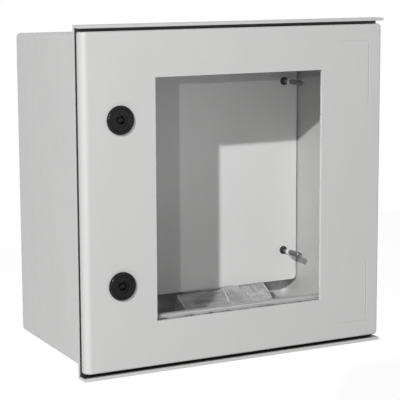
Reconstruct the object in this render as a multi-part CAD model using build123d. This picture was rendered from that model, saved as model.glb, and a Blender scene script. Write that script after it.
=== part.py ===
from build123d import *
from math import atan, cos, degrees, radians, sin, sqrt
import os

# A wall-mounted electrical enclosure moulded in glass-reinforced polyester, with a glazed door.
# X runs to the right, Y to the back and Z up. The back face lies in Y = 0, and the origin is the
# centre of the four wall-fixing inserts. A depth is measured back from the front edge of the lips.

# Overall sizes
width = 400.0
height = 400.0
overall_depth = 210.0

# Moulded body: a tapered tub behind a front flange with a lip above and below the door
lip_depth = 20.0
lip_thick = 3.5
lip_edge_r = 1.0
flange_thick = 3.5
side_step = 1.0
top_step = 10.0
bottom_step = 14.0
draft = 6.6
bottom_draft = 1.0
wall = 3.5
back_wall = 4.0
tub_corner_r = 5.0
tub_back_r = 3.0
inner_corner_r = 12.0
inner_back_r = 10.0
flare_r = 8.0

# Rim round the mouth, which presses into the door gasket
rim_inset_side = 19.0
rim_inset_end = 27.0
rim_thick = 3.5
rim_front = 9.5
rim_corner_r = 14.0

# Door: a shallow moulded tray
door_front = 2.0
door_back = 13.4
door_side_gap = 1.5
door_end_gap = 7.1
door_skin = 3.5
door_grip_r = 8.0
door_edge_r = 2.5
door_inner_edge_r = 0.6
door_corner_r = 4.5
channel_rib_thick = 1.5
channel_rib_height = 2.2
gasket_width = 7.6
gasket_gap = 0.3

# Glazed window in the door
window_margin_left = 92.0
window_margin_right = 86.1
window_margin_end = 59.9
seal_thick = 1.0
pane_thick = 4.0
pane_overlap = 12.0
clamp_set_back = 8.5
clamp_outer = 26.0
clamp_thick = 2.5
clamp_screw_out = 20.0
clamp_boss_r = 4.2
rail_depth = 9.5
rail_rise = 4.4
rail_lip_height = 6.0
rail_edge_r = 1.6

# Quarter-turn locks, one above the other at the left of the door
lock_inset = 47.5
lock_spacing = 188.4
bezel_r = 16.5
bezel_out = 4.5
bezel_dish = 1.3
barrel_r = 11.0
barrel_clearance = 0.2
lock_nut_across = 27.0
lock_nut_thick = 6.0
lock_seal_thick = 1.0
core_head_r = 7.5
core_head_long = 6.0
core_recess = 1.0
core_shaft_r = 6.0
core_well_r = 5.2
core_well_deep = 5.0
core_pin_r = 2.4
core_square = 8.0
running_gap = 0.05
cam_thick = 3.0
cam_reach = 36.0
cam_hub_r = 9.0
cam_tip_width = 14.0
cam_gap = 0.5

# Concealed hinges at the right: a steel bracket on the flange and two eyes moulded in the door
hinge_end_inset = 65.0
pivot_inset = 7.6
pivot_depth = 8.2
hinge_pin_r = 1.5
pin_chamfer = 0.4
knuckle_r = 2.9
bracket_tall = 34.0
bracket_thick = 2.0
bracket_inset = 14.8
bracket_foot_out = 0.5
bracket_arm_set_back = 0.6
eye_gap = 1.0
eye_long = 12.0
notch_front = 9.0
notch_gap = 1.0

# Mounting plate on bosses inside the back, with its stand-off studs
plate_thick = 2.5
plate_side_gap = 12.0
plate_end_gap = 46.5
plate_corner_r = 5.0
plate_boss_high = 25.5
stud_inset_side = 20.0
stud_inset_end = 40.8
stud_r = 2.3
stud_out = 42.0
stud_nut_r = 5.35
stud_nut_thick = 3.0
collar_from_plate = 14.0
collar_r = 3.9
collar_long = 4.5
sleeve_r = 3.5
plate_boss_r = 8.0
plate_insert_r = 3.6
plate_insert_long = 6.4

# Blind wall-fixing inserts in the back
fixing_inset_side = 50.0
fixing_inset_end = 60.0
fixing_boss_r = 9.0
fixing_boss_high = 6.0
fixing_insert_r = 5.2
fixing_insert_long = 6.5
fixing_bore_r = 3.4

# Bag of wall fixings that lies on the floor of the tub
bag_right_gap = 38.0
bag_back_gap = 4.0
bag_long = 164.0
bag_wide = 38.0
bag_tall = 31.0
bag_film = 0.5
bag_edge_r = 4.0
bag_lift = 0.1
lug_long = 52.0
lug_wide = 12.0
lug_from_end = 9.7
lug_back = 4.0
lug_turn = -14.6
lug_thick = 3.0
lug_hole_r = 4.3
lug_screw_r = 4.0
lug_screw_long = 15.0
lug_screw_head = 13.0
lug_screw_head_high = 5.3
cap_r = 7.5
cap_thick = 3.0
key_shaft_r = 5.0
key_long = 18.0
key_wing = 26.0
key_wing_high = 8.0
key_wing_thick = 4.0
key_slot = 2.8
bag_pad = 5.0
loose_gap = 0.5

# Screws
screw_r = 2.0
screw_head_r = 3.8
screw_head_high = 2.2
screw_socket_r = 1.3
hinge_screw_r = 1.75
hinge_screw_head_r = 3.3
hinge_screw_long = 7.5
hinge_socket_r = 1.5
cam_screw_r = 2.5
cam_screw_head_r = 6.0
cam_screw_head_high = 3.0
cam_screw_long = 9.0
cam_socket_r = 2.2
socket_deep = 1.0

# Places worked out from the sizes above
half_width = width / 2
half_height = height / 2
flange_front = lip_depth - flange_thick
tub_long = overall_depth - lip_depth
draft_slope = draft / tub_long
bottom_slope = bottom_draft / tub_long
tub_width = width - 2 * side_step
tub_top = half_height - top_step
tub_bottom = bottom_step - half_height
inner_back = overall_depth - back_wall
rim_half_x = half_width - rim_inset_side
rim_half_z = half_height - rim_inset_end
door_width = width - 2 * door_side_gap
door_height = height - 2 * door_end_gap
skin_back = door_front + door_skin
channel_half = gasket_width / 2 + 0.7
pane_front = skin_back + seal_thick
pane_back = pane_front + pane_thick
window_width = width - window_margin_left - window_margin_right
window_height = height - 2 * window_margin_end
window_x = (window_margin_left - window_margin_right) / 2
window_half_x = window_width / 2
window_half_z = window_height / 2
lock_x = lock_inset - half_width
lock_zs = [lock_spacing / 2, -lock_spacing / 2]
barrel_back = lip_depth + cam_gap - running_gap
cam_front = lip_depth + cam_gap
cam_back = cam_front + cam_thick
pivot_x = half_width - pivot_inset
hinge_zs = [half_height - hinge_end_inset, hinge_end_inset - half_height]
bracket_x = half_width - bracket_inset
bracket_foot_front = flange_front - bracket_foot_out
bracket_right = half_width - 2 * side_step
hinge_screw_x = pivot_x - hinge_pin_r
eye_start = bracket_tall / 2 + eye_gap
pin_half = eye_start + eye_long
plate_width = width - 2 * plate_side_gap
plate_height = height - 2 * plate_end_gap
plate_back = inner_back - plate_boss_high
plate_front = plate_back - plate_thick
stud_x = plate_width / 2 - stud_inset_side
stud_z = plate_height / 2 - stud_inset_end
fixing_x = half_width - fixing_inset_side
fixing_z = half_height - fixing_inset_end
bag_left = half_width - bag_right_gap - bag_long
bag_front = plate_front - bag_back_gap - bag_wide
ends = [("upper", 0), ("lower", 1)]


def at(depth):
    """The Y of a plane that lies this far behind the front edge of the lips."""
    return depth - overall_depth


def facing_front(depth, x=0.0, z=0.0):
    """A plane seen from the front, with its own x to the right and its own y up."""
    return Plane(origin=(x, at(depth), z), x_dir=(1, 0, 0), z_dir=(0, -1, 0))


def slab(profile, front, back, x=0.0, z=0.0):
    """A profile seen from the front, as a solid between two depths."""
    return extrude(facing_front(back, x, z) * profile, amount=back - front)


def rod(radius, front, back, x=0.0, z=0.0):
    return slab(Circle(radius), front, back, x, z)


def frame(half_x, half_z, thick, corner_r):
    """A rounded frame whose middle line has these half sizes."""
    outer = RectangleRounded(2 * half_x + thick, 2 * half_z + thick, corner_r + thick / 2)
    inner = RectangleRounded(2 * half_x - thick, 2 * half_z - thick, corner_r - thick / 2)
    return outer - inner


def four(x, z):
    return [(sx * x, sz * z) for sx in (-1, 1) for sz in (-1, 1)]


# Moulded body

def tapered_block(inset, corner_r, back, end_r):
    """The tub's form, drafted towards the back: what its plan and its side view have in common."""
    run, front_y, back_y = back - lip_depth, at(lip_depth), at(back)
    half_front = tub_width / 2 - inset
    half_back = half_front - run * draft_slope
    top, bottom = tub_top - inset, tub_bottom + inset
    plan = Polygon((-half_front, front_y), (half_front, front_y), (half_back, back_y),
                   (-half_back, back_y), align=None)
    side = Polygon((front_y, bottom), (front_y, top), (back_y, top - run * draft_slope),
                   (back_y, bottom + run * bottom_slope), align=None)
    block = extrude(plan, amount=height, both=True) & extrude(Plane.YZ * side, amount=width, both=True)
    corners = [edge for edge in block.edges() if front_y + 1 < edge.center().Y < back_y - 1]
    block = fillet(corners, corner_r)
    return fillet(block.faces().sort_by(Axis.Y)[-1].edges(), end_r)


def flare(sign):
    """The concave sweep from the tub's top or bottom wall into the flange."""
    wall_z = tub_top if sign > 0 else tub_bottom
    start = Vector(0, at(lip_depth), wall_z + sign * flare_r)
    end = Vector(0, at(lip_depth + flare_r), wall_z)
    centre = Vector(0, at(lip_depth + flare_r), wall_z + sign * flare_r)
    middle = centre + Vector(0, -sin(radians(45)), -sign * cos(radians(45))) * flare_r
    root_y, root_z = at(lip_depth - flange_thick / 2), wall_z - sign * wall / 2
    edge = ThreePointArc(start, middle, end)
    rest = Polyline(end, (0, end.Y, root_z), (0, root_y, root_z), (0, root_y, start.Z), start)
    half = tub_width / 2 - tub_corner_r
    return Pos(-half, 0, 0) * extrude(make_face([edge, rest]), amount=2 * half, dir=(1, 0, 0))


def enclosure_body():
    body = tapered_block(0, tub_corner_r, overall_depth, tub_back_r)
    body += slab(Rectangle(width, height), flange_front, lip_depth)
    for sign in (-1, 1):
        lip_z = sign * (half_height - lip_thick / 2)
        lip = slab(Rectangle(width, lip_thick), 0, lip_depth, 0, lip_z)
        body += fillet(lip.faces().sort_by(Axis.Y)[0].edges().filter_by(Axis.X), lip_edge_r)
        body += flare(sign)
    body -= tapered_block(wall, inner_corner_r, inner_back, inner_back_r)
    mouth = RectangleRounded(2 * rim_half_x - rim_thick, 2 * rim_half_z - rim_thick,
                             rim_corner_r - rim_thick / 2)
    body -= slab(mouth, rim_front - 1, lip_depth)
    rim = slab(frame(rim_half_x, rim_half_z, rim_thick, rim_corner_r), rim_front, flange_front)
    body += rim
    for x, z in four(stud_x, stud_z):
        body += rod(plate_boss_r, plate_back, inner_back + back_wall / 2, x, z)
        body -= rod(plate_insert_r, plate_back, plate_back + plate_insert_long, x, z)
    for x, z in four(fixing_x, fixing_z):
        body += rod(fixing_boss_r, inner_back - fixing_boss_high, inner_back + back_wall / 2, x, z)
        body -= rod(fixing_insert_r, overall_depth - fixing_insert_long, overall_depth, x, z)
    for hinge_z in hinge_zs:
        for screw_z in bracket_screw_zs(hinge_z):
            boss_end = flange_front + hinge_screw_long + 2
            body += rod(wall + hinge_screw_r, lip_depth - 1, boss_end, hinge_screw_x, screw_z)
            body -= rod(hinge_screw_r, flange_front, flange_front + hinge_screw_long,
                        hinge_screw_x, screw_z)
        seat = Rectangle(bracket_right - bracket_x + 0.4, bracket_tall + 0.4)
        seat_x = (bracket_right + bracket_x) / 2
        body -= slab(seat, flange_front - 0.5, bracket_foot_front + bracket_thick, seat_x, hinge_z)
    return body


def wall_inserts():
    ring = Circle(fixing_insert_r) - Circle(fixing_bore_r)
    front = overall_depth - fixing_insert_long
    return [slab(ring, front, overall_depth, x, z) for x, z in four(fixing_x, fixing_z)]


def plate_inserts():
    ring = Circle(plate_insert_r) - Circle(stud_r)
    back = plate_back + plate_insert_long
    return [slab(ring, plate_back, back, x, z) for x, z in four(stud_x, stud_z)]


# Mounting plate and its studs

def mounting_plate():
    profile = RectangleRounded(plate_width, plate_height, plate_corner_r)
    plate = slab(profile, plate_front, plate_back)
    for x, z in four(stud_x, stud_z):
        plate -= rod(stud_r, plate_front, plate_back, x, z)
    return plate


def plate_studs():
    back = plate_back + plate_insert_long
    places = four(stud_x, stud_z)
    return [rod(stud_r, plate_front - stud_out, back, x, z) for x, z in places]


def plate_nuts():
    """A flanged nut on each stud, tight against the plate."""
    nuts = []
    for x, z in four(stud_x, stud_z):
        base = plate_front - stud_nut_thick / 3
        nut = rod(stud_nut_r, base, plate_front, x, z)
        nut += slab(RegularPolygon(stud_nut_r * 0.9, 6), plate_front - stud_nut_thick, base, x, z)
        nuts.append(nut - rod(stud_r, plate_front - stud_nut_thick, plate_front, x, z))
    return nuts


def stud_collars():
    back = plate_front - collar_from_plate
    ring = Circle(collar_r) - Circle(stud_r)
    places = four(stud_x, stud_z)
    return [slab(ring, back - collar_long, back, x, z) for x, z in places]


def stud_sleeves():
    back = plate_front - collar_from_plate - collar_long
    ring = Circle(sleeve_r) - Circle(stud_r)
    places = four(stud_x, stud_z)
    return [slab(ring, plate_front - stud_out, back, x, z) for x, z in places]


# Door

def door_block(inset, edge_r):
    """The door's form, or the same form set in by one wall. Its front edge at the locks has a wide
    rounding, and the other front edges a small one."""
    half_x, half_z = door_width / 2 - inset, door_height / 2 - inset
    grip_r, corner_r = door_grip_r - inset, door_corner_r - inset
    block = slab(Rectangle(2 * half_x, 2 * half_z), door_front + inset, door_back)
    uprights = block.faces().sort_by(Axis.Y)[0].edges().filter_by(Axis.Z).sort_by(Axis.X)
    block = fillet(uprights[0], grip_r)
    right = [edge for edge in block.edges().filter_by(Axis.Y) if edge.center().X > 0]
    block = fillet(right, corner_r)
    rim = []
    for edge in block.edges():
        middle, straight = edge.center(), edge.geom_type == GeomType.LINE
        seam_left = straight and middle.X < 0 and abs(middle.Z) < 1
        seam_right = straight and middle.X > half_x - corner_r - 1 and abs(middle.Z) > half_z - corner_r - 1
        if middle.Y < at(door_back) - 0.01 and not seam_left and not seam_right:
            rim.append(edge)
    return fillet(rim, edge_r)


def hinge_eye(start):
    """One moulded eye in the corner of the door, with its bore for the pin."""
    skirt_x = half_width - door_side_gap - door_skin / 2
    eye = Pos(pivot_x, at(pivot_depth), start) * extrude(Circle(knuckle_r), amount=eye_long)
    reach = skirt_x - pivot_x + knuckle_r
    web = Rectangle(reach, pivot_depth - door_front - door_skin / 2, align=(Align.MIN, Align.MAX))
    eye += Pos(pivot_x - knuckle_r, at(pivot_depth), start) * extrude(web, amount=eye_long)
    arm = Rectangle(skirt_x - pivot_x, knuckle_r, align=(Align.MIN, Align.MIN))
    return eye + Pos(pivot_x, at(pivot_depth), start) * extrude(arm, amount=eye_long)


def clamp_screw_places():
    """Screws of the two upright clamps and the top clamp, outside the pane's edge."""
    out_x = window_half_x + clamp_screw_out
    out_z = window_half_z + clamp_screw_out
    upright = [-0.84, -0.28, 0.28, 0.84]
    places = [(window_x + side * out_x, share * window_half_z) for side in (-1, 1) for share in upright]
    return places + [(window_x + share * window_half_x, out_z) for share in (-0.8, 0.0, 0.8)]


def rail_screw_places():
    out_z = -(window_half_z + clamp_screw_out)
    return [(window_x + share * window_half_x, out_z) for share in (-0.8, 0.0, 0.8)]


def door():
    tray = door_block(0, door_edge_r) - door_block(door_skin, door_inner_edge_r)
    channel_r = rim_corner_r
    for offset in (-1, 1):
        step = offset * (channel_half + channel_rib_thick / 2)
        ring = frame(rim_half_x + step, rim_half_z + step, channel_rib_thick, channel_r + step)
        tray += slab(ring, skin_back - 0.5, skin_back + channel_rib_height)
    for x, z in clamp_screw_places() + rail_screw_places():
        tray += rod(clamp_boss_r, skin_back - 0.5, pane_back, x, z)
        tray -= rod(screw_r, skin_back + 1, pane_back, x, z)
    tray -= slab(Rectangle(window_width, window_height), door_front - 1, skin_back + 1, window_x)
    for lock_z in lock_zs:
        tray -= rod(barrel_r + barrel_clearance, door_front - 1, skin_back + 1, lock_x, lock_z)
    for hinge_z in hinge_zs:
        notch_tall = bracket_tall + 2 * notch_gap
        right = half_width - door_side_gap
        notch = Rectangle(right - bracket_x + 1.0, notch_tall, align=(Align.MAX, Align.CENTER))
        tray -= slab(notch, notch_front, door_back + 1, right + 0.1, hinge_z)
        rib_gap = Rectangle(bracket_thick + 4, notch_tall)
        tray -= slab(rib_gap, skin_back, door_back, bracket_x + bracket_thick / 2, hinge_z)
        relief = extrude(Circle(knuckle_r + 0.4), amount=notch_tall)
        tray -= Pos(pivot_x, at(pivot_depth), hinge_z - notch_tall / 2) * relief
        for start in (hinge_z + eye_start, hinge_z - eye_start - eye_long):
            tray += hinge_eye(start)
        bore = extrude(Circle(hinge_pin_r), amount=2 * pin_half)
        tray -= Pos(pivot_x, at(pivot_depth), hinge_z - pin_half) * bore
    return tray


def door_gasket():
    """Foamed seal between the channel ribs, ending just short of the body's rim."""
    return slab(frame(rim_half_x, rim_half_z, gasket_width, rim_corner_r), skin_back,
                rim_front - gasket_gap)


# Window

def window_seal():
    outer = Rectangle(window_width + 2 * pane_overlap, window_height + 2 * pane_overlap)
    inner = Rectangle(window_width + 2, window_height + 2)
    return slab(outer - inner, skin_back, pane_front, window_x)


def window_pane():
    pane = Rectangle(window_width + 2 * pane_overlap, window_height + 2 * pane_overlap)
    return slab(pane, pane_front, pane_back, window_x)


def clamp_strip(size_x, size_z, x, z, places):
    strip = slab(Rectangle(size_x, size_z), pane_back, pane_back + clamp_thick, x, z)
    strip = fillet(strip.edges().filter_by(Axis.Y), 2)
    for screw_x, screw_z in places:
        strip -= rod(screw_r, pane_back, pane_back + clamp_thick, screw_x, screw_z)
    return strip


def upright_clamp(side):
    strip = clamp_outer - clamp_set_back
    x = window_x + side * (window_half_x + (clamp_outer + clamp_set_back) / 2)
    places = [place for place in clamp_screw_places()[:8] if side * (place[0] - window_x) > 0]
    return clamp_strip(strip, window_height, x, 0, places)


def top_clamp():
    strip = clamp_outer - clamp_set_back
    z = window_half_z + (clamp_outer + clamp_set_back) / 2
    return clamp_strip(window_width, strip, window_x, z, clamp_screw_places()[8:])


def pane_support_rail():
    """Angle rail under the pane: a flat held by screws and a deep rounded top."""
    top = -window_half_z + rail_rise
    bottom = -window_half_z - clamp_outer
    long = window_width + 2 * clamp_set_back - 2
    flat = Rectangle(long, top - bottom, align=(Align.CENTER, Align.MAX))
    rail = slab(flat, pane_back, pane_back + clamp_thick, window_x, top)
    shelf = Rectangle(long, rail_lip_height, align=(Align.CENTER, Align.MAX))
    rail += slab(shelf, pane_back, pane_back + rail_depth, window_x, top)
    upper = [edge for edge in rail.edges().filter_by(Axis.X) if edge.center().Z > top - 0.01]
    rail = fillet(upper, rail_edge_r)
    for x, z in rail_screw_places():
        rail -= rod(screw_r, pane_back, pane_back + clamp_thick, x, z)
    return rail


def pan_screw(seat, x, z):
    """A screw driven from inside the door, with a domed head and a hexagon socket."""
    head = fillet(rod(screw_head_r, seat, seat + screw_head_high, x, z).edges().sort_by(Axis.Y)[-1], 1)
    head -= slab(RegularPolygon(screw_socket_r, 6), seat + 0.9, seat + screw_head_high, x, z)
    return head + rod(screw_r, skin_back + 1, seat, x, z)


def clamp_screws():
    return [pan_screw(pane_back + clamp_thick, x, z) for x, z in clamp_screw_places()]


def rail_screws():
    return [pan_screw(pane_back + clamp_thick, x, z) for x, z in rail_screw_places()]


# Locks

def lock_housing(z):
    """Black bezel with a rounded, dished front, on a barrel that goes through the door."""
    seat = door_front - lock_seal_thick
    bezel = rod(bezel_r, door_front - bezel_out, seat, lock_x, z)
    bezel = fillet(bezel.edges().sort_by(Axis.Y)[0], 2.4)
    dish = facing_front(door_front - bezel_out, lock_x, z) * Circle(bezel_r - 3.2)
    bezel -= extrude(dish, amount=-bezel_dish, taper=35)
    housing = bezel + rod(barrel_r, seat, barrel_back, lock_x, z)
    housing -= rod(core_head_r + running_gap, door_front - bezel_out, head_back(), lock_x, z)
    return housing - rod(core_shaft_r + running_gap, 0, barrel_back, lock_x, z)


def head_front():
    return door_front - bezel_out + bezel_dish + core_recess


def head_back():
    return head_front() + core_head_long


def lock_core(z):
    """Turning core: a well with a double-bit pin in front and a square for the cam behind."""
    core = rod(core_head_r, head_front(), head_back(), lock_x, z)
    core -= rod(core_well_r, head_front(), head_front() + core_well_deep, lock_x, z)
    well_end = head_front() + core_well_deep
    bits = Rectangle(3 * core_pin_r, core_pin_r) + Circle(core_pin_r)
    core += slab(bits, head_front() + 0.6, well_end, lock_x, z)
    core += rod(core_shaft_r, head_back(), barrel_back, lock_x, z)
    core += slab(Rectangle(core_square, core_square), barrel_back, cam_back - 0.1, lock_x, z)
    return core - rod(cam_screw_r, cam_back - cam_screw_long, cam_back, lock_x, z)


def lock_cam(z):
    """Steel cam, pointing down when the lock is open."""
    tip_r = cam_tip_width / 2
    tip_z = -(cam_reach - tip_r)
    blade = Circle(cam_hub_r) + Pos(0, tip_z) * Circle(tip_r)
    slope = (cam_hub_r - tip_r) / -tip_z
    run = sqrt(1 - slope ** 2)
    sides = [(cam_hub_r * run, -cam_hub_r * slope), (tip_r * run, tip_z - tip_r * slope)]
    blade += make_face(Polyline(*sides, *[(-x, y) for x, y in reversed(sides)], sides[0]))
    blade -= Rectangle(core_square + 2 * running_gap, core_square + 2 * running_gap)
    return slab(blade, cam_front, cam_back, lock_x, z)


def lock_nut(z):
    nut = slab(RegularPolygon(lock_nut_across / 2, 6, major_radius=False), skin_back,
               skin_back + lock_nut_thick, lock_x, z)
    return nut - rod(barrel_r, skin_back, skin_back + lock_nut_thick, lock_x, z)


def lock_seal(z):
    ring = Circle(bezel_r - 1.2) - Circle(barrel_r)
    return slab(ring, door_front - lock_seal_thick, door_front, lock_x, z)


def cam_screw(z):
    head = rod(cam_screw_head_r, cam_back, cam_back + cam_screw_head_high, lock_x, z)
    head = fillet(head.edges().sort_by(Axis.Y)[-1], 1.2)
    head -= slab(RegularPolygon(cam_socket_r, 6), cam_back + socket_deep,
                 cam_back + cam_screw_head_high, lock_x, z)
    return head + rod(cam_screw_r, cam_back - cam_screw_long, cam_back, lock_x, z)


# Hinges

def bracket_screw_zs(hinge_z):
    return [hinge_z - 0.3 * bracket_tall, hinge_z + 0.3 * bracket_tall]


def hinge_bracket(hinge_z):
    """Folded steel bracket: a foot on the flange, a leg, and an arm rolled round the pin."""
    arm_front = at(pivot_depth - knuckle_r + bracket_arm_set_back)
    foot_back = at(bracket_foot_front + bracket_thick)
    corner = dict(align=(Align.MIN, Align.MIN))
    leg = Pos(bracket_x, arm_front) * Rectangle(bracket_thick, foot_back - arm_front, **corner)
    arm = Pos(bracket_x, arm_front) * Rectangle(pivot_x - bracket_x, bracket_thick, **corner)
    foot_y = foot_back - bracket_thick
    foot = Pos(bracket_x, foot_y) * Rectangle(bracket_right - bracket_x, bracket_thick, **corner)
    pivot = Pos(pivot_x, at(pivot_depth))
    profile = leg + arm + foot + pivot * Circle(knuckle_r)
    profile -= pivot * Circle(hinge_pin_r + running_gap)
    bracket = Pos(0, 0, hinge_z - bracket_tall / 2) * extrude(profile, amount=bracket_tall)
    for screw_z in bracket_screw_zs(hinge_z):
        bracket -= rod(hinge_screw_r, bracket_foot_front, lip_depth, hinge_screw_x, screw_z)
        bracket -= countersink(screw_z)
    return bracket


def countersink(screw_z):
    """The cone of a countersunk head, flush with the bracket's foot."""
    mouth = facing_front(bracket_foot_front, hinge_screw_x, screw_z) * Circle(hinge_screw_head_r)
    root = hinge_screw_head_r - hinge_screw_r
    bottom = facing_front(bracket_foot_front + root, hinge_screw_x, screw_z) * Circle(hinge_screw_r)
    return loft([mouth.face(), bottom.face()])


def hinge_pin(hinge_z):
    pin = extrude(Circle(hinge_pin_r), amount=2 * pin_half)
    pin = chamfer(pin.edges().filter_by(GeomType.CIRCLE), pin_chamfer)
    return Pos(pivot_x, at(pivot_depth), hinge_z - pin_half) * pin


def hinge_screws():
    screws = []
    for hinge_z in hinge_zs:
        for screw_z in bracket_screw_zs(hinge_z):
            shank = rod(hinge_screw_r, bracket_foot_front + 0.5, flange_front + hinge_screw_long,
                        hinge_screw_x, screw_z)
            socket = slab(RegularPolygon(hinge_socket_r, 6), bracket_foot_front,
                          bracket_foot_front + socket_deep,
                          hinge_screw_x, screw_z)
            screws.append(countersink(screw_z) + shank - socket)
    return screws


# Bag of fixings, built on the tub's sloping floor

def floor_place(x, depth, lift=0.0):
    """A place on the floor of the tub, tilted as the moulding's draft tilts it."""
    z = tub_bottom + wall + (depth - lip_depth) * bottom_slope
    slope = Location((0, 0, 0), (degrees(atan(bottom_slope)), 0, 0))
    return Pos(x, at(depth), z) * slope * Pos(0, 0, bag_lift + lift)


def bag_form(inset):
    size = (bag_long - 2 * inset, bag_wide - 2 * inset, bag_tall - 2 * inset)
    form = Box(*size, align=(Align.MIN, Align.MIN, Align.MIN))
    return Pos(inset, inset, inset) * fillet(form.edges(), bag_edge_r - inset)


def fixings_bag():
    return floor_place(bag_left, bag_front) * (bag_form(0) - bag_form(bag_film))


def in_bag(x, y, lift=0.0):
    """A place inside the bag, measured from its left end, its middle line and its floor."""
    return floor_place(bag_left + x, bag_front + bag_wide / 2 + y, bag_film + bag_lift + lift)


def wall_lugs():
    """Four lugs in one pile, turned a little in the bag."""
    profile = RectangleRounded(lug_long, lug_wide, lug_wide / 2 - 0.1)
    profile -= Pos(lug_long / 2 - lug_wide / 2) * Circle(lug_hole_r)
    profile -= Pos(lug_wide / 2 - lug_long / 2) * Circle(lug_hole_r)
    lug = Rot(0, 0, lug_turn) * extrude(profile, amount=lug_thick)
    x = lug_from_end + lug_long / 2
    return [in_bag(x, lug_back, layer * lug_thick) * lug for layer in range(4)]


def lug_screws():
    """Three hexagon screws, each lying on one flat of its head."""
    head = extrude(RegularPolygon(lug_screw_head / 2, 6, major_radius=False),
                   amount=lug_screw_head_high)
    screw = head + Pos(0, 0, lug_screw_head_high) * extrude(Circle(lug_screw_r), amount=lug_screw_long)
    lying = Location((0, 0, 0), (90, 0, 0)) * screw
    pitch = lug_screw_head / cos(radians(30)) + loose_gap
    first = lug_from_end + lug_long + pitch / 2
    long = lug_screw_long + lug_screw_head_high
    return [in_bag(first + i * pitch, long / 2, lug_screw_head / 2) * lying for i in range(3)]


def sealing_caps():
    cap = extrude(Circle(cap_r), amount=cap_thick / 2)
    cap += Pos(0, 0, cap_thick / 2) * extrude(Circle(cap_r * 0.6), amount=cap_thick / 2)
    x = bag_long - bag_pad - key_wing - cap_r - loose_gap
    return [in_bag(x, 0, layer * (cap_thick + 0.1)) * cap for layer in (0, 1)]


def lock_key():
    """Double-bit key lying on its side: a hollow shaft and a flat wing."""
    shaft = Circle(key_shaft_r) - Circle(core_pin_r + barrel_clearance)
    shaft -= Rectangle(3 * core_pin_r + 2 * barrel_clearance, key_slot)
    key = extrude(shaft, amount=key_long)
    standing = (Align.CENTER, Align.CENTER, Align.MIN)
    wing = Pos(0, 0, key_long) * Box(key_wing, key_wing_thick, key_wing_high, align=standing)
    key += fillet(wing.edges().filter_by(Axis.Y), 3)
    lying = Location((0, 0, 0), (90, 0, 0)) * key
    x = bag_long - bag_pad - key_wing / 2
    return in_bag(x, (key_long + key_wing_high) / 2, key_shaft_r) * lying


# Every separate piece, under the name of its node

def pieces():
    made = {
        "enclosure_body": enclosure_body(),
        "wall_inserts": wall_inserts(),
        "plate_inserts": plate_inserts(),
        "mounting_plate": mounting_plate(),
        "plate_studs": plate_studs(),
        "plate_nuts": plate_nuts(),
        "stud_collars": stud_collars(),
        "stud_sleeves": stud_sleeves(),
        "door": door(),
        "door_gasket": door_gasket(),
        "window_seal": window_seal(),
        "window_pane": window_pane(),
        "pane_clamp_left": upright_clamp(-1),
        "pane_clamp_right": upright_clamp(1),
        "pane_clamp_top": top_clamp(),
        "pane_support_rail": pane_support_rail(),
        "clamp_screws": clamp_screws(),
        "rail_screws": rail_screws(),
        "hinge_screws": hinge_screws(),
        "fixings_bag": fixings_bag(),
        "wall_lugs": wall_lugs(),
        "lug_screws": lug_screws(),
        "sealing_caps": sealing_caps(),
        "lock_key": lock_key(),
    }
    for name, i in ends:
        made["lock_housing_" + name] = lock_housing(lock_zs[i])
        made["lock_core_" + name] = lock_core(lock_zs[i])
        made["lock_cam_" + name] = lock_cam(lock_zs[i])
        made["lock_nut_" + name] = lock_nut(lock_zs[i])
        made["lock_seal_" + name] = lock_seal(lock_zs[i])
        made["cam_screw_" + name] = cam_screw(lock_zs[i])
        made["hinge_bracket_" + name] = hinge_bracket(hinge_zs[i])
        made["hinge_pin_" + name] = hinge_pin(hinge_zs[i])
    return made


os.makedirs("parts", exist_ok=True)
for name, shape in pieces().items():
    if isinstance(shape, list):
        shape = Compound(children=shape)
    export_step(shape, "parts/" + name + ".step")
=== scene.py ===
import math

import bpy
import numpy as np
from mathutils import Matrix, Vector
from mathutils.bvhtree import BVHTree

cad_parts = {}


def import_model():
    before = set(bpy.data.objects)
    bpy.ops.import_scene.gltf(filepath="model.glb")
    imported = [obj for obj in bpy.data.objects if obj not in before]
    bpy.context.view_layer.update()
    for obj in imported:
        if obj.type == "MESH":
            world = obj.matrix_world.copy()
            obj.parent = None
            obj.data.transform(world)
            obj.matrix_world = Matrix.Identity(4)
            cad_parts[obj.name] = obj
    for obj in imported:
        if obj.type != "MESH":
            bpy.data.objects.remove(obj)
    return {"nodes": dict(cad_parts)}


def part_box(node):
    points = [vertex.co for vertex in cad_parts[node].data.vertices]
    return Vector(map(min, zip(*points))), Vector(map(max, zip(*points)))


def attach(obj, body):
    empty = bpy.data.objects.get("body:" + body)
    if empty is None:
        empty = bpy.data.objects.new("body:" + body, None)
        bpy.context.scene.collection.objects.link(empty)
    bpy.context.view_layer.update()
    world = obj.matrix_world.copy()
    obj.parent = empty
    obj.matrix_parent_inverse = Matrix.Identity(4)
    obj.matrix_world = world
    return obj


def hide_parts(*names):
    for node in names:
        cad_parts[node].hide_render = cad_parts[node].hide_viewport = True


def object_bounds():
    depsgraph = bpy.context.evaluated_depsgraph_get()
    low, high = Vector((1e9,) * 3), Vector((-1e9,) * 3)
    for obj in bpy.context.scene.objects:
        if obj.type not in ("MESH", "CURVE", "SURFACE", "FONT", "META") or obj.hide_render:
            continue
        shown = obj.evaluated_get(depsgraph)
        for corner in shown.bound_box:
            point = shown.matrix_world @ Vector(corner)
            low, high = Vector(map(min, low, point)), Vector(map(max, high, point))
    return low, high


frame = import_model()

# The looks of a wall-hung moulded enclosure with a glazed door.
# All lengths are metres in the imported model's frame: X right, Y back, Z up.

cad_box = [list(corner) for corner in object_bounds()]
nodes = frame["nodes"]

# Tones, as linear light
GREY_PLASTIC = (0.54, 0.54, 0.536)
# Near black: painted shade in the gap round the door, and the dirt of the door's handling marks
PAINTED_SHADE_AND_DIRT_GREY = (0.03, 0.03, 0.03)
GREY_PAINT = (0.85, 0.85, 0.845)

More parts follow.
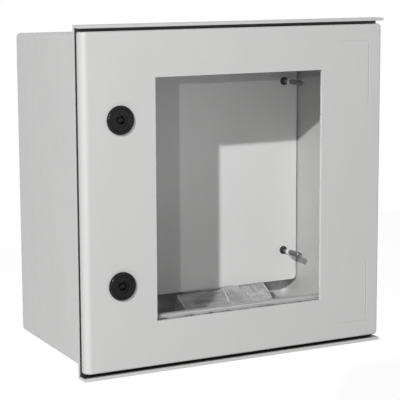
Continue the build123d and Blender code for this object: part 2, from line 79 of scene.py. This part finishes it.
# Camera, solved from the corners of the door and the box
CAMERA_PLACE = Vector((-0.86066, -1.71584, 0.26881))
CAMERA_YAW = 0.492355
CAMERA_PITCH = 0.157855
CAMERA_ROLL = -0.004437
CAMERA_LENS = 135.27
SENSOR = 36.0

# Light: the way each lamp's light travels past the window's top left corner, and its distance
KEY_WAY = Vector((1.02, 1.0, -0.61))
KEY_DISTANCE = 2.8
KEY_SIZE = 0.055
KEY_POWER = 68.5
FILL_WAY = Vector((0.69, 1.0, -0.145))
FILL_DISTANCE = 2.8
FILL_SIZE = 0.04
FILL_POWER = 10.5
SOFT_LAMPS = (((-0.9, -0.4, -0.6), 0.8, 0.9), ((0.1, -1.2, 0.2), 1.0, 1.2))
AMBIENT = 0.21
FLOOR_DROP = 0.9
FLOOR_HALF = 5.0
FLOOR_GLOW = 0.8

# Places in the model that the scene needs
WINDOW_LEFT, WINDOW_RIGHT = (corner.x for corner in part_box("pane_clamp_top"))
WINDOW_BOTTOM, WINDOW_TOP = (corner.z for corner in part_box("pane_clamp_left"))
DOOR_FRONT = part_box("door")[0].y
DOOR_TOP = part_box("door")[1].z
LIP_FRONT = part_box("enclosure_body")[0].y
DOOR_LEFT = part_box("door")[0].x
FLANGE_DEPTH, LIP_THICK = 0.0165, 0.0035
LIP_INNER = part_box("enclosure_body")[1].z - LIP_THICK

# Where painted shade darkens the gap round the door. Depths run back from the lips' front edge.
LEFT_LINE = 0.0008
GAP_STRIP = 0.0015
GAP_LIP_FROM = 0.004
GAP_DOOR_FROM = 0.005

# Handling marks on the door's face: x, z, radius and how dark
DOOR_MARKS = ((0.1131, 0.0872, 0.0013, 0.9), (0.1386, -0.1049, 0.0035, 0.07))

# The bag of fixings: folds as x, y, z of both ends, creases as x, y of both ends, half width and rise
BAG_FOLDS = (
    (0.005, -0.038, -0.1552, 0.039, -0.038, -0.1549), (0.039, -0.038, -0.1549, 0.070, -0.038, -0.1544),
    (0.070, -0.038, -0.1512, 0.102, -0.042, -0.1512), (0.102, -0.042, -0.1512, 0.132, -0.038, -0.1515),
    (0.070, -0.038, -0.1512, 0.0686, -0.052, -0.1574), (0.0686, -0.052, -0.1574, 0.0644, -0.068, -0.1644),
    (0.132, -0.038, -0.1515, 0.133, -0.052, -0.1611), (0.133, -0.052, -0.1611, 0.1294, -0.068, -0.1663),
    (0.005, -0.038, -0.1552, 0.003, -0.046, -0.1562), (0.003, -0.046, -0.1562, 0.000, -0.070, -0.1641),
    (0.000, -0.070, -0.1641, 0.0644, -0.070, -0.1650), (0.0644, -0.070, -0.1650, 0.1294, -0.070, -0.1668),
)
BAG_CREASES = (
    (0.040, -0.044, 0.068, -0.043, 0.0012, 0.0022), (0.034, -0.049, 0.067, -0.048, 0.0012, 0.0020),
    (0.030, -0.055, 0.066, -0.054, 0.0014, -0.0022), (0.010, -0.052, 0.034, -0.050, 0.0016, 0.0016),
    (0.072, -0.042, 0.075, -0.056, 0.0016, -0.0035), (0.101, -0.050, 0.098, -0.070, 0.0014, -0.0035),
    (0.084, -0.046, 0.108, -0.052, 0.0030, -0.0025), (0.112, -0.044, 0.127, -0.060, 0.0030, -0.0025),
    (0.096, -0.043, 0.107, -0.042, 0.0025, -0.0020),
)

# The bag's seams, as points along each, and where the film lies flat to the right of it
BAG_WELDS = (
    ((0.0695, -0.038, -0.1512), (0.0700, -0.045, -0.1535), (0.0686, -0.052, -0.1574),
     (0.0670, -0.060, -0.1605), (0.0644, -0.068, -0.1640)),
    ((0.005, -0.0385, -0.1550), (0.003, -0.046, -0.1560), (0.000, -0.069, -0.1638)),
    ((0.132, -0.0385, -0.1515), (0.1328, -0.052, -0.1608), (0.1292, -0.067, -0.1660)),
    ((0.040, -0.040, -0.1530), (0.066, -0.040, -0.1522)),
    ((0.036, -0.047, -0.1548), (0.066, -0.046, -0.1545)),
)
BAG_FLAT_FROM = 0.1345

# How cloudy the bag's film is, at its clearest and at its whitest
FILM_CLEAR, FILM_CLOUD = 0.2, 0.42


# Materials

class Shader:
    """A material with one Principled surface, built node by node in the model's own coordinates."""

    def __init__(self, name, **sockets):
        self.material = bpy.data.materials.new(name)
        self.material.use_nodes = True
        self.nodes = self.material.node_tree.nodes
        self.links = self.material.node_tree.links
        self.nodes.clear()
        self.output = self.nodes.new("ShaderNodeOutputMaterial")
        self.surface = self.add("BsdfPrincipled", **sockets)
        self.links.new(self.surface.outputs[0], self.output.inputs["Surface"])
        self.place = self.add("TexCoord").outputs["Object"]

    def add(self, kind, settings=None, **sockets):
        """A new node. A socket is named with underscores for spaces, and takes a value or an output."""
        node = self.nodes.new("ShaderNode" + kind)
        for key, value in (settings or {}).items():
            setattr(node, key, value)
        for key, value in sockets.items():
            self.put(node.inputs[key.replace("_", " ")], value)
        return node

    def put(self, socket, value):
        if isinstance(value, bpy.types.NodeSocket):
            self.links.new(value, socket)
        elif isinstance(value, tuple) and len(value) == 3 and socket.type == "RGBA":
            socket.default_value = (*value, 1.0)
        else:
            socket.default_value = value

    def math(self, operation, *values):
        node = self.add("Math", {"operation": operation})
        for socket, value in zip(node.inputs, values):
            self.put(socket, value)
        return node.outputs[0]

    def stretched(self, x, y, z):
        """The place, squeezed along an axis so that a pattern runs long there."""
        node = self.add("Mapping", Vector=self.place)
        node.inputs["Scale"].default_value = (x, y, z)
        return node.outputs[0]

    def noise(self, size, detail=2.0, rough=0.5, place=None):
        """Cloudy values round 0.5, with blotches about this large."""
        node = self.add("TexNoise", Vector=place or self.place, Scale=1 / size, Detail=detail,
                        Roughness=rough)
        return node.outputs["Fac"]

    def fit(self, value, low, high, start=0.0, end=1.0):
        """A value from start to end, spread to run from low to high."""
        node = self.add("MapRange", Value=value)
        for key, number in (("From Min", start), ("From Max", end), ("To Min", low), ("To Max", high)):
            node.inputs[key].default_value = number
        return node.outputs[0]

    def blend(self, share, first, second):
        node = self.add("Mix", {"data_type": "RGBA"})
        self.put(node.inputs["Factor"], share)
        self.put(node.inputs[6], first)
        self.put(node.inputs[7], second)
        return node.outputs[2]

    def colour(self, value):
        self.put(self.surface.inputs["Base Color"], value)

    def rough(self, value):
        self.put(self.surface.inputs["Roughness"], value)

    def bump(self, height, distance, strength=1.0):
        """Adds relief to what the surface already has."""
        node = self.add("Bump", Height=height, Distance=distance, Strength=strength)
        before = self.surface.inputs["Normal"]
        if before.is_linked:
            self.links.new(before.links[0].from_socket, node.inputs["Normal"])
        self.links.new(node.outputs[0], before)


def shade(colour, factor):
    return tuple(channel * factor for channel in colour)


def between(s, value, low, high):
    """1 where a value lies between two others."""
    return s.math("MULTIPLY", s.math("GREATER_THAN", value, low), s.math("LESS_THAN", value, high))


def painted_gap_shade(s, on_door):
    """1 on thin strips that face the gap round the door, which get painted shade. The photo shows them near
    black, and the lamps alone leave them grey, so painted shade darkens them here."""
    parts = s.add("SeparateXYZ", Vector=s.place).outputs
    depth, high = s.math("SUBTRACT", parts["Y"], LIP_FRONT), s.math("ABSOLUTE", parts["Z"])
    if on_door:
        return s.math("MULTIPLY", s.math("GREATER_THAN", high, DOOR_TOP - 0.0002),
                      s.math("GREATER_THAN", depth, GAP_DOOR_FROM))
    flange = s.math("MULTIPLY", between(s, depth, FLANGE_DEPTH - 0.0006, FLANGE_DEPTH + 0.0003),
                    s.math("LESS_THAN", high, LIP_INNER + 0.0001))
    flange = s.math("MULTIPLY", flange, s.math("GREATER_THAN", parts["X"], DOOR_LEFT - LEFT_LINE))
    edges = s.math("MAXIMUM", s.math("GREATER_THAN", high, DOOR_TOP - GAP_STRIP),
                   s.math("LESS_THAN", parts["X"], DOOR_LEFT + GAP_STRIP))
    flange = s.math("MULTIPLY", flange, edges)
    lips = s.math("MULTIPLY", between(s, depth, GAP_LIP_FROM, FLANGE_DEPTH + 0.0003),
                  between(s, high, LIP_INNER - 0.0003, LIP_INNER + 0.0001))
    return s.math("MAXIMUM", flange, lips)


def moulded_grey(name, on_door):
    """Glass-filled polyester: even grey, a slightly wavy gloss, flow marks and fine grain."""
    s = Shader(name, IOR=1.5, Specular_IOR_Level=0.5)
    flow = s.noise(0.05, 3.0, 0.6, s.stretched(1.0, 1.0, 0.45))
    fleck = s.noise(0.0009, 2.0, 0.6)
    tone = s.blend(s.fit(flow, 0.0, 1.0, 0.3, 0.7), shade(GREY_PLASTIC, 0.985), shade(GREY_PLASTIC, 1.012))
    tone = s.blend(s.fit(fleck, 0.0, 0.5, 0.62, 0.75), tone, shade(GREY_PLASTIC, 0.93))
    if on_door:
        tone = handling_marks(s, tone)
    # Painted shade: the strips that face the gap round the door are blended to near black
    s.colour(s.blend(painted_gap_shade(s, on_door), tone, PAINTED_SHADE_AND_DIRT_GREY))
    s.rough(s.fit(s.noise(0.012, 3.0, 0.6), 0.36, 0.46, 0.3, 0.7))
    s.bump(s.noise(0.0016, 2.0, 0.5), 0.00006, 0.6)
    s.bump(s.noise(0.02, 1.0, 0.5), 0.00025, 0.35)
    if on_door:
        sink_marks(s)
    return s.material


def handling_marks(s, tone):
    """Small soft spots of dirt on the door's face."""
    parts = s.add("SeparateXYZ", Vector=s.place).outputs
    for x, z, radius, share in DOOR_MARKS:
        across = s.math("POWER", s.math("SUBTRACT", parts["X"], x), 2.0)
        along = s.math("POWER", s.math("SUBTRACT", parts["Z"], z), 2.0)
        away = s.math("SQRT", s.math("ADD", across, along))
        tone = s.blend(s.fit(away, share, 0.0, 0.0, radius), tone, PAINTED_SHADE_AND_DIRT_GREY)
    return tone


def sink_marks(s):
    """Faint sunk lines where the gasket's channel stands behind the door's two right corners."""
    line_x, line_z, half = 0.181, 0.173, 0.0009
    parts = s.add("SeparateXYZ", Vector=s.place).outputs
    high = s.math("ABSOLUTE", parts["Z"])
    off = s.math("MAXIMUM", s.math("SUBTRACT", parts["X"], line_x), s.math("SUBTRACT", high, line_z))
    groove = s.fit(s.math("ABSOLUTE", off), 0.0, 1.0, 0.0, half)
    near = s.math("MULTIPLY", s.math("GREATER_THAN", parts["X"], 0.143),
                  s.math("GREATER_THAN", high, 0.096))
    away = s.math("SUBTRACT", 1.0, near)
    s.bump(s.math("MAXIMUM", groove, away), 0.0004, 0.9)


def powder_coat():
    """Satin powder coat with a fine orange-peel relief."""
    s = Shader("plate_powder_coat", IOR=1.5)
    cloud = s.noise(0.08, 3.0, 0.6)
    s.colour(s.blend(s.fit(cloud, 0.0, 1.0, 0.3, 0.7), shade(GREY_PAINT, 0.985), shade(GREY_PAINT, 1.01)))
    s.rough(s.fit(s.noise(0.03, 2.0, 0.5), 0.38, 0.48, 0.3, 0.7))
    s.bump(s.noise(0.0028, 1.5, 0.4), 0.00012, 0.5)
    s.bump(s.noise(0.0006, 1.0, 0.5), 0.00002, 0.5)
    return s.material


def metal(name, dark, light, rough_low, rough_high, grain, streak=(1.0, 1.0, 1.0), relief=0.00002):
    """Bare or plated metal with cloudy tone, uneven gloss and a fine grain."""
    s = Shader(name, Metallic=1.0)
    cloud = s.noise(0.004, 3.0, 0.6)
    s.colour(s.blend(s.fit(cloud, 0.0, 1.0, 0.3, 0.7), dark, light))
    lines = s.noise(grain, 3.0, 0.6, s.stretched(*streak))
    s.rough(s.fit(lines, rough_low, rough_high, 0.3, 0.7))
    s.bump(lines, relief, 0.6)
    return s.material


def black_gloss():
    """Moulded black plastic with a soft polish and handling marks."""
    s = Shader("black_gloss", IOR=1.4, Specular_IOR_Level=0.2)
    s.colour(s.blend(s.noise(0.01, 2.0), (0.006, 0.006, 0.0065), (0.010, 0.010, 0.011)))
    s.rough(s.fit(s.noise(0.003, 4.0, 0.65), 0.12, 0.22, 0.3, 0.7))
    s.bump(s.noise(0.0007, 2.0), 0.00002, 0.5)
    return s.material


def rubber():
    """Foamed black seal, matt and finely pored."""
    s = Shader("black_rubber", IOR=1.45)
    s.colour(s.blend(s.noise(0.004, 3.0), (0.016, 0.016, 0.016), (0.03, 0.03, 0.03)))
    s.rough(s.fit(s.noise(0.002, 3.0), 0.68, 0.85, 0.3, 0.7))
    s.bump(s.noise(0.0005, 3.0, 0.7), 0.00008, 0.7)
    return s.material


def nylon():
    """Natural nylon, slightly translucent."""
    s = Shader("white_nylon", IOR=1.5, Subsurface_Weight=0.15, Subsurface_Scale=0.002)
    s.colour(s.blend(s.noise(0.003, 2.0), (0.8, 0.8, 0.77), (0.86, 0.86, 0.84)))
    s.rough(s.fit(s.noise(0.001, 2.0), 0.3, 0.42, 0.3, 0.7))
    s.bump(s.noise(0.0006, 1.0), 0.00001, 0.5)
    return s.material


def rail_finish():
    """Grey anodised rail, with faint drawing lines along it."""
    s = Shader("rail_grey", IOR=1.5, Metallic=0.15)
    lines = s.noise(0.0004, 3.0, 0.6, s.stretched(0.02, 1.0, 1.0))
    s.colour(s.blend(s.fit(lines, 0.0, 1.0, 0.3, 0.7), (0.46, 0.46, 0.46), (0.55, 0.55, 0.55)))
    s.rough(s.fit(lines, 0.34, 0.5, 0.3, 0.7))
    s.bump(lines, 0.00002, 0.6)
    return s.material


def see_through(name, tint, reflect_ior, rough, haze, haze_colour, metallic=1.0):
    """A clear sheet that lets the lamps through, with a thin gloss that grows at grazing angles and a haze."""
    s = Shader(name, Metallic=metallic)
    s.colour(haze_colour)
    s.rough(rough(s) if callable(rough) else rough)
    haze = haze(s) if callable(haze) else haze
    clear = s.add("BsdfTransparent", Color=tint)
    edge = s.add("Fresnel", IOR=reflect_ior).outputs[0]
    share = s.math("ADD", edge, haze) if haze else edge
    mix = s.add("MixShader")
    s.put(mix.inputs[0], share)
    s.links.new(clear.outputs[0], mix.inputs[1])
    s.links.new(s.surface.outputs[0], mix.inputs[2])
    s.links.new(mix.outputs[0], s.output.inputs["Surface"])
    return s


def pane_material():
    """The clear pane, with wiping marks in its gloss."""
    wiped = lambda s: s.fit(s.noise(0.02, 4.0, 0.7, s.stretched(1.0, 1.0, 0.2)), 0.02, 0.07, 0.3, 0.7)
    s = see_through("clear_pane", (0.985, 0.985, 0.985), 1.12, wiped, 0.0, (0.95, 0.95, 0.95))
    s.bump(s.noise(0.06, 1.0), 0.00005, 0.3)
    return s.material


def film_material():
    """Clear bag film, clouded in soft blotches."""
    dull = lambda s: s.fit(s.noise(0.006, 3.0, 0.6), 0.12, 0.3, 0.3, 0.7)
    blotch = lambda s: s.noise(0.022, 2.0, 0.5, s.stretched(0.6, 1.0, 1.0))
    cloud = lambda s: s.fit(blotch(s), FILM_CLEAR, FILM_CLOUD, 0.35, 0.65)
    s = see_through("bag_film", (0.95, 0.95, 0.95), 1.35, dull, cloud, (0.9, 0.9, 0.9), 0.0)
    s.bump(s.noise(0.005, 1.5, 0.5), 0.0002, 0.35)
    return s.material


def weld_material():
    """The bag's welded seams, whiter than its film."""
    dull = lambda s: s.fit(s.noise(0.002, 2.0, 0.5), 0.2, 0.4, 0.3, 0.7)
    cloud = lambda s: s.fit(s.noise(0.003, 2.0, 0.5), 0.55, 0.8, 0.3, 0.7)
    s = see_through("bag_weld", (0.95, 0.95, 0.95), 1.35, dull, cloud, (0.95, 0.95, 0.95), 0.0)
    s.bump(s.noise(0.001, 1.0), 0.00005, 0.5)
    return s.material


def sealant_material():
    """Dark sealant with dusty lighter smears."""
    s = Shader("dark_sealant", IOR=1.45)
    smear = s.fit(s.noise(0.003, 3.0, 0.6), 0.0, 1.0, 0.4, 0.65)
    s.colour(s.blend(smear, (0.03, 0.03, 0.03), (0.2, 0.2, 0.2)))
    s.rough(0.5)
    s.bump(s.noise(0.0012, 2.0), 0.0002, 0.6)
    return s.material


materials = {
    "body": moulded_grey("moulded_grey", False),
    "door": moulded_grey("moulded_grey_door", True),
    "paint": powder_coat(),
    "zinc": metal("zinc_plate", (0.48, 0.49, 0.5), (0.66, 0.66, 0.67), 0.24, 0.42, 0.0005),
    "dull_zinc": metal("dull_zinc", (0.3, 0.3, 0.31), (0.5, 0.5, 0.51), 0.2, 0.34, 0.0006),
    "dark": metal("black_oxide", (0.06, 0.06, 0.063), (0.13, 0.13, 0.132), 0.3, 0.5, 0.0006),
    "brass": metal("turned_brass", (0.62, 0.43, 0.18), (0.74, 0.55, 0.27), 0.22, 0.4, 0.0004),
    "aluminium": metal("strip_aluminium", (0.6, 0.6, 0.61), (0.7, 0.7, 0.71), 0.28, 0.46, 0.0005,
                       (1.0, 1.0, 0.02)),
    "aluminium_cross": metal("cross_aluminium", (0.6, 0.6, 0.61), (0.7, 0.7, 0.71), 0.28, 0.46, 0.0005,
                             (0.02, 1.0, 1.0)),
    "black": black_gloss(),
    "rubber": rubber(),
    "nylon": nylon(),
    "rail": rail_finish(),
    "pane": pane_material(),
    "film": film_material(),
    "weld": weld_material(),
    "sealant": sealant_material(),
}

# Which finish each CAD piece has
finishes = {
    "enclosure_body": "body", "door": "door", "mounting_plate": "paint",
    "wall_inserts": "brass", "plate_inserts": "brass",
    "plate_studs": "dull_zinc", "plate_nuts": "dark", "stud_collars": "nylon", "stud_sleeves": "dull_zinc",
    "door_gasket": "rubber", "window_seal": "rubber", "window_pane": "pane",
    "pane_clamp_left": "aluminium", "pane_clamp_right": "aluminium", "pane_clamp_top": "aluminium_cross",
    "pane_support_rail": "rail", "clamp_screws": "zinc", "rail_screws": "zinc", "hinge_screws": "zinc",
    "wall_lugs": "body", "lug_screws": "zinc", "sealing_caps": "body", "lock_key": "black",
    "fixings_bag": "film",
    "lock_housing": "black", "lock_core": "black", "lock_cam": "zinc", "lock_nut": "black",
    "lock_seal": "rubber", "cam_screw": "zinc", "hinge_bracket": "zinc", "hinge_pin": "zinc",
}

for name, node in nodes.items():
    kind = name.removesuffix("_upper").removesuffix("_lower")
    for slot in node.material_slots:
        slot.material = materials[finishes[kind]]


# Pieces made here

def mesh_piece(name, points, faces, material, body, smooth=True):
    mesh = bpy.data.meshes.new(name)
    mesh.from_pydata([tuple(point) for point in points], [], faces)
    mesh.validate()
    mesh.materials.append(material)
    for polygon in mesh.polygons:
        polygon.use_smooth = smooth
    made = bpy.data.objects.new(name, mesh)
    bpy.context.scene.collection.objects.link(made)
    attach(made, body)
    return made


def threaded_sleeves():
    """Studding on the four stand-off studs: plain tubes in the model, cut with a thread here."""
    low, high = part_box("stud_sleeves")
    pitch, cut, sides, steps = 0.00125, 0.00045, 32, 8
    outer, bore = 0.0035, 0.0023
    points, faces = [], []
    for x in (low.x + outer, high.x - outer):
        for z in (low.z + outer, high.z - outer):
            first = len(points)
            rings = int(round((high.y - low.y) / pitch * steps))
            rows = [(low.y, bore)]
            rows += [(low.y + (high.y - low.y) * i / rings, outer) for i in range(rings + 1)]
            rows += [(high.y, bore)]
            for y, radius in rows:
                for j in range(sides):
                    turn = j / sides
                    wave = abs(((y - low.y) / pitch - turn) % 1.0 - 0.5) * 2
                    end = min(1.0, (y - low.y) / pitch, (high.y - y) / pitch)
                    depth = cut * (1 - wave) * max(end, 0.0) + cut * 0.6 * (1 - max(end, 0.0))
                    r = radius if radius == bore else radius - depth
                    angle = turn * math.tau
                    points.append((x + r * math.cos(angle), y, z + r * math.sin(angle)))
            for i in range(len(rows)):
                here, there = first + i * sides, first + (i + 1) % len(rows) * sides
                for j in range(sides):
                    k = (j + 1) % sides
                    faces.append((here + j, here + k, there + k, there + j))
    made = mesh_piece("stud_threads", points, faces, materials["dull_zinc"], "case")
    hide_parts("stud_sleeves")


def film_bag():
    """A clear bag that tents over the fixings in it, with sharp creases and flat welded ends."""
    low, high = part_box("fixings_bag")
    slope = 1.0 / 190.0
    step = 0.001
    columns = int((high.x - low.x) / step) + 1
    rows = int((high.y - low.y) / step) + 1
    xs = np.linspace(low.x, high.x, columns)
    ys = np.linspace(low.y + 0.0005, high.y - 0.0005, rows)
    grid_x, grid_y = np.meshgrid(xs, ys, indexing="ij")
    ground = low.z + 0.0001 + (grid_y - low.y) * slope
    held = np.zeros_like(grid_x)
    for name in ("wall_lugs", "lug_screws", "sealing_caps", "lock_key"):
        mesh = nodes[name].data
        tree = BVHTree.FromPolygons([v.co for v in mesh.vertices], [p.vertices for p in mesh.polygons])
        for i, x in enumerate(xs):
            for j, y in enumerate(ys):
                hit = tree.ray_cast(Vector((x, y, high.z + 0.01)), Vector((0, 0, -1)))[0]
                if hit is not None:
                    held[i, j] = max(held[i, j], hit.z - ground[i, j] + 0.0005)

    def along(x1, y1, x2, y2):
        """How far along a line each point of the grid lies, and how far from it."""
        first, run = np.array((x1, y1)), np.array((x2 - x1, y2 - y1))
        share = ((grid_x - first[0]) * run[0] + (grid_y - first[1]) * run[1]) / (run @ run)
        share = np.clip(share, 0, 1)
        return share, np.hypot(grid_x - first[0] - share * run[0], grid_y - first[1] - share * run[1])

    # The stiff folds hold the film up
    for x1, y1, z1, x2, y2, z2 in BAG_FOLDS:
        share, away = along(x1, y1, x2, y2)
        height = z1 + (z2 - z1) * share - ground
        np.maximum(held, np.where(away < 0.0008, height, 0), out=held)
    film = held.copy()
    edge = np.zeros_like(film, bool)
    edge[:1], edge[-1:], edge[:, :1], edge[:, -1:] = True, True, True, True
    edge |= (grid_x > BAG_FLAT_FROM) & (held <= 0)
    for _ in range(500):
        spread = film.copy()
        spread[1:-1, 1:-1] = (film[:-2, 1:-1] + film[2:, 1:-1] + film[1:-1, :-2] + film[1:-1, 2:]) / 4
        film = np.maximum(spread, held)
        film[edge] = 0.0008
    for x1, y1, x2, y2, half, rise in BAG_CREASES:
        away = along(x1, y1, x2, y2)[1]
        film += rise * np.clip(1 - away / half, 0, 1) * np.clip(film / 0.006, 0, 1)
    rng = np.random.default_rng(7)
    for _ in range(16):
        cx, cy = rng.uniform(low.x, BAG_FLAT_FROM), rng.uniform(low.y, high.y)
        angle = rng.uniform(-0.6, 0.6)
        length, half = rng.uniform(0.006, 0.02), rng.uniform(0.0012, 0.003)
        ends = (cx - length * math.cos(angle), cy - length * math.sin(angle),
                cx + length * math.cos(angle), cy + length * math.sin(angle))
        away = along(*ends)[1]
        film += rng.uniform(-0.0012, 0.0012) * np.clip(1 - away / half, 0, 1) * np.clip(film / 0.006, 0, 1)
    film = np.minimum(film, high.z - ground - 0.0003)
    film = np.maximum(film, 0.0006)
    film[edge] = 0.0008
    points, faces = [], []
    for level in (ground + film, ground + 0.0002):
        points += list(zip(grid_x.ravel(), grid_y.ravel(), level.ravel()))
    under = columns * rows
    at = lambda i, j, base=0: base + i * rows + j
    for i in range(columns - 1):
        for j in range(rows - 1):
            faces.append((at(i, j), at(i + 1, j), at(i + 1, j + 1), at(i, j + 1)))
            faces.append((at(i, j, under), at(i, j + 1, under), at(i + 1, j + 1, under), at(i + 1, j, under)))
    border = [at(i, 0) for i in range(columns)] + [at(columns - 1, j) for j in range(1, rows)]
    border += [at(i, rows - 1) for i in range(columns - 2, -1, -1)]
    border += [at(0, j) for j in range(rows - 2, 0, -1)]
    for here, there in zip(border, border[1:] + border[:1]):
        faces.append((there, here, here + under, there + under))
    made = mesh_piece("crumpled_bag", points, faces, materials["film"], "case")
    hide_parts("fixings_bag")


def bag_welds():
    """The bag's seams, as narrow ribbons that lie on its film."""
    half, lift, thick = 0.0006, 0.0002, 0.0003
    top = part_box("fixings_bag")[1].z - 0.0002
    points, faces = [], []
    for line in BAG_WELDS:
        first = len(points)
        for i, here in enumerate(line):
            there = Vector(line[min(i + 1, len(line) - 1)]) - Vector(line[max(i - 1, 0)])
            side = Vector((-there.y, there.x, 0)).normalized() * half
            for sign, drop in ((1, 0), (-1, 0), (-1, thick), (1, thick)):
                points.append((here[0] + sign * side.x, here[1] + sign * side.y,
                               min(here[2] + lift, top) - drop))
        for i in range(len(line) - 1):
            for j in range(4):
                k = (j + 1) % 4
                a, b = first + i * 4, first + i * 4 + 4
                faces.append((a + j, a + k, b + k, b + j))
        last = first + (len(line) - 1) * 4
        faces.append((first + 3, first + 2, first + 1, first))
        faces.append((last, last + 1, last + 2, last + 3))
    made = mesh_piece("bag_seams", points, faces, materials["weld"], "case", smooth=False)


def sealant():
    """Uneven sealant along the pane's lower edge, pressed out above the sill of the opening."""
    smears = [(-0.1065, -0.094, 0.0024), (-0.071, -0.0574, 0.0014), (-0.044, -0.030, 0.0012),
              (-0.0206, -0.007, 0.0013), (0.027, 0.0516, 0.0012), (0.08, 0.094, 0.0008)]
    pane_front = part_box("window_pane")[0].y
    rng = np.random.default_rng(3)
    columns, arc = 220, 6
    xs = np.linspace(WINDOW_LEFT + 0.0004, WINDOW_RIGHT - 0.0004, columns)
    high = np.full(columns, 0.00045)
    for start, end, top in smears:
        middle, half = (start + end) / 2, (end - start) / 2
        high = np.maximum(high, top * np.clip(1.25 - np.abs(xs - middle) / half, 0, 1) ** 0.5)
    high *= 1 + 0.35 * np.convolve(rng.uniform(-1, 1, columns), np.ones(3) / 3, "same")
    points, faces = [], []
    for x, top in zip(xs, high):
        for j in range(arc + 1):
            angle = math.pi / 2 * j / arc
            points.append((x, pane_front - 0.0002 - 0.5 * top * math.cos(angle),
                           WINDOW_BOTTOM + 0.0001 + top * math.sin(angle)))
        points.append((x, pane_front - 0.0001, WINDOW_BOTTOM + 0.0001))
    ring = arc + 2
    for i in range(columns - 1):
        for j in range(ring):
            k = (j + 1) % ring
            faces.append((i * ring + j, (i + 1) * ring + j, (i + 1) * ring + k, i * ring + k))
    faces.append(tuple(range(ring)))
    faces.append(tuple((columns - 1) * ring + j for j in reversed(range(ring))))
    made = mesh_piece("pane_sealant", points, faces, materials["sealant"], "door")


threaded_sleeves()
film_bag()
bag_welds()
sealant()


# Camera, lamps, world and floor

def camera():
    right = Vector((math.cos(CAMERA_YAW), -math.sin(CAMERA_YAW), 0))
    ahead = Vector((math.sin(CAMERA_YAW) * math.cos(CAMERA_PITCH),
                    math.cos(CAMERA_YAW) * math.cos(CAMERA_PITCH), -math.sin(CAMERA_PITCH)))
    up = right.cross(ahead)
    across = right * math.cos(CAMERA_ROLL) + up * math.sin(CAMERA_ROLL)
    above = up * math.cos(CAMERA_ROLL) - right * math.sin(CAMERA_ROLL)
    data = bpy.data.cameras.new("camera")
    data.lens, data.sensor_width = CAMERA_LENS, SENSOR
    made = bpy.data.objects.new("camera", data)
    bpy.context.scene.collection.objects.link(made)
    made.matrix_world = Matrix((across, above, -ahead)).transposed().to_4x4()
    made.location = CAMERA_PLACE
    bpy.context.scene.camera = made


def lamp(name, way, distance, size, power):
    """A small round lamp whose light travels this way past the window's top left corner."""
    corner = Vector((WINDOW_LEFT, DOOR_FRONT, WINDOW_TOP))
    data = bpy.data.lights.new(name, "AREA")
    data.shape, data.size, data.energy = "DISK", size, power
    made = bpy.data.objects.new(name, data)
    bpy.context.scene.collection.objects.link(made)
    made.location = corner - way.normalized() * distance
    made.rotation_mode = "QUATERNION"
    made.rotation_quaternion = way.to_track_quat("-Z", "Y")


def plain_view_ray(nodes_, links):
    """1 for rays that show the background: straight from the camera, or by a reflection or a clear sheet."""
    path = nodes_.new("ShaderNodeLightPath")
    first = nodes_.new("ShaderNodeMath")
    first.operation = "MAXIMUM"
    links.new(path.outputs["Is Camera Ray"], first.inputs[0])
    links.new(path.outputs["Is Glossy Ray"], first.inputs[1])
    second = nodes_.new("ShaderNodeMath")
    second.operation = "MAXIMUM"
    links.new(first.outputs[0], second.inputs[0])
    links.new(path.outputs["Is Transmission Ray"], second.inputs[1])
    return second.outputs[0]


def world():
    """A plain pale dome. Rays that show the background see plain white."""
    made = bpy.data.worlds.new("studio")
    made.use_nodes = True
    tree = made.node_tree
    tree.nodes.clear()
    output = tree.nodes.new("ShaderNodeOutputWorld")
    mix = tree.nodes.new("ShaderNodeMixShader")
    for i, strength in ((1, AMBIENT), (2, 1.0)):
        part = tree.nodes.new("ShaderNodeBackground")
        part.inputs["Color"].default_value = (1, 1, 1, 1)
        part.inputs["Strength"].default_value = strength
        tree.links.new(part.outputs[0], mix.inputs[i])
    tree.links.new(plain_view_ray(tree.nodes, tree.links), mix.inputs[0])
    tree.links.new(mix.outputs[0], output.inputs["Surface"])
    bpy.context.scene.world = made


def floor():
    material = bpy.data.materials.new("floor")
    material.use_nodes = True
    tree = material.node_tree
    tree.nodes.clear()
    output = tree.nodes.new("ShaderNodeOutputMaterial")
    matt = tree.nodes.new("ShaderNodeBsdfDiffuse")
    matt.inputs["Color"].default_value = (0.75, 0.75, 0.75, 1)
    glow = tree.nodes.new("ShaderNodeEmission")
    strength = tree.nodes.new("ShaderNodeMath")
    strength.operation = "MULTIPLY"
    strength.inputs[1].default_value = FLOOR_GLOW
    tree.links.new(plain_view_ray(tree.nodes, tree.links), strength.inputs[0])
    tree.links.new(strength.outputs[0], glow.inputs["Strength"])
    both = tree.nodes.new("ShaderNodeAddShader")
    tree.links.new(matt.outputs[0], both.inputs[0])
    tree.links.new(glow.outputs[0], both.inputs[1])
    tree.links.new(both.outputs[0], output.inputs["Surface"])
    level = cad_box[0][2] - FLOOR_DROP
    corners = [(x * FLOOR_HALF, y * FLOOR_HALF, level) for x, y in ((-1, -1), (1, -1), (1, 1), (-1, 1))]
    mesh = bpy.data.meshes.new("floor")
    mesh.from_pydata(corners, [], [(0, 1, 2, 3)])
    mesh.materials.append(material)
    made = bpy.data.objects.new("floor", mesh)
    bpy.context.scene.collection.objects.link(made)


def soft_lamp(name, place, size, power):
    """A wide soft lamp that evens the light out from top to bottom."""
    data = bpy.data.lights.new(name, "AREA")
    data.shape, data.size, data.energy = "DISK", size, power
    made = bpy.data.objects.new(name, data)
    bpy.context.scene.collection.objects.link(made)
    made.location = place
    made.rotation_mode = "QUATERNION"
    made.rotation_quaternion = (-made.location).to_track_quat("-Z", "Y")


camera()
for i, soft in enumerate(SOFT_LAMPS):
    soft_lamp(f"soft_{i}", *soft)
lamp("key", KEY_WAY, KEY_DISTANCE, KEY_SIZE, KEY_POWER)
lamp("fill", FILL_WAY, FILL_DISTANCE, FILL_SIZE, FILL_POWER)
world()
floor()
bpy.context.scene.view_settings.view_transform = "Standard"
